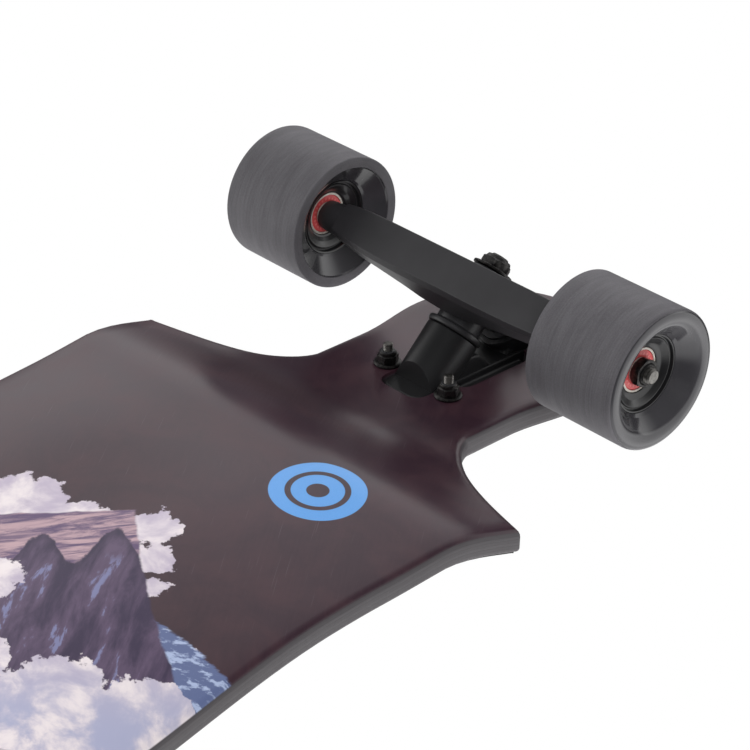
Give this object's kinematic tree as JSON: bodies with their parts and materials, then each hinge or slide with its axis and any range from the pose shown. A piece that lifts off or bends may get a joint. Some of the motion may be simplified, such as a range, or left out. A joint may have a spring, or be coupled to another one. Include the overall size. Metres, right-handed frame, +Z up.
{
  "type": "longboard skateboard",
  "caption": "Drop-through, dropped-platform longboard with a flared outline, reverse-kingpin trucks that lean on bushings and soft wheels on ball bearings.",
  "frame": {"origin": "on the ground, under the middle of the board, wheels standing on it", "axes": "+Z up, +Y along the board to the rear truck, +X to the rider's right facing +Y"},
  "size_m": [0.2574, 1, 0.1072],
  "materials": {
    "deck_wood": "dark stained maple with a satin lacquer over a printed landscape",
    "grip": "black abrasive grip tape",
    "truck_black": "satin black powder coat",
    "axle_steel": "bright rolled steel, threaded ends",
    "dark_steel": "black oxide with bright worn edges",
    "bushing": "cast urethane",
    "tyre": "cast urethane, lathe-cut running face and glossy hollows",
    "core": "moulded nylon",
    "bearing": "red pressed shield with a pale rim and steel races"
  },
  "bodies": {
    "board": {"deck": "deck_wood", "grip_tape": "grip", "front_baseplate": "truck_black", "front_pivot_cup": "bushing", "front_kingpin": "dark_steel", "front_washer_board": "truck_black", "front_bushing_board": "bushing", "front_bushing_road": "bushing", "front_washer_road": "dark_steel", "front_kingpin_nut": "dark_steel", "front_bolt_1": "dark_steel", "front_lock_nut_1": "dark_steel", "front_bolt_2": "dark_steel", "front_lock_nut_2": "dark_steel", "front_bolt_3": "dark_steel", "front_lock_nut_3": "dark_steel", "front_bolt_4": "dark_steel", "front_lock_nut_4": "dark_steel", "rear_baseplate": "truck_black", "rear_pivot_cup": "bushing", "rear_kingpin": "dark_steel", "rear_washer_board": "truck_black", "rear_bushing_board": "bushing", "rear_bushing_road": "bushing", "rear_washer_road": "dark_steel", "rear_kingpin_nut": "dark_steel", "rear_bolt_1": "dark_steel", "rear_lock_nut_1": "dark_steel", "rear_bolt_2": "dark_steel", "rear_lock_nut_2": "dark_steel", "rear_bolt_3": "dark_steel", "rear_lock_nut_3": "dark_steel", "rear_bolt_4": "dark_steel", "rear_lock_nut_4": "dark_steel"},
    "front_hanger": {"front_hanger": "truck_black", "front_axle": "axle_steel", "front_left_axle_nut": "dark_steel", "front_right_axle_nut": "dark_steel"},
    "front_left_wheel": {"front_left_tyre": "tyre", "front_left_core": "core", "front_left_bearing_in": "bearing", "front_left_bearing_out": "bearing"},
    "front_right_wheel": {"front_right_tyre": "tyre", "front_right_core": "core", "front_right_bearing_in": "bearing", "front_right_bearing_out": "bearing"},
    "rear_hanger": {"rear_hanger": "truck_black", "rear_axle": "axle_steel", "rear_left_axle_nut": "dark_steel", "rear_right_axle_nut": "dark_steel"},
    "rear_left_wheel": {"rear_left_tyre": "tyre", "rear_left_core": "core", "rear_left_bearing_in": "bearing", "rear_left_bearing_out": "bearing"},
    "rear_right_wheel": {"rear_right_tyre": "tyre", "rear_right_core": "core", "rear_right_bearing_in": "bearing", "rear_right_bearing_out": "bearing"}
  },
  "joints": [
    {"name": "front_lean", "type": "hinge", "parent": "board", "child": "front_hanger", "pos_m": [0, -0.40752, 0.03549], "axis": [0, -0.7071, 0.7071], "range_deg": [-12, 12], "stiffness_Nm_per_rad": 45, "deforming": ["front_bushing_board", "front_bushing_road"]},
    {"name": "front_left_spin", "type": "hinge", "parent": "front_hanger", "child": "front_left_wheel", "pos_m": [0, -0.409, 0.034], "axis": [1, 0, 0], "continuous": true},
    {"name": "front_right_spin", "type": "hinge", "parent": "front_hanger", "child": "front_right_wheel", "pos_m": [0, -0.409, 0.034], "axis": [1, 0, 0], "continuous": true},
    {"name": "rear_lean", "type": "hinge", "parent": "board", "child": "rear_hanger", "pos_m": [0, 0.40752, 0.03549], "axis": [0, 0.7071, 0.7071], "range_deg": [-12, 12], "stiffness_Nm_per_rad": 45, "deforming": ["rear_bushing_board", "rear_bushing_road"]},
    {"name": "rear_left_spin", "type": "hinge", "parent": "rear_hanger", "child": "rear_left_wheel", "pos_m": [0, 0.409, 0.034], "axis": [1, 0, 0], "continuous": true},
    {"name": "rear_right_spin", "type": "hinge", "parent": "rear_hanger", "child": "rear_right_wheel", "pos_m": [0, 0.409, 0.034], "axis": [1, 0, 0], "continuous": true}
  ]
}
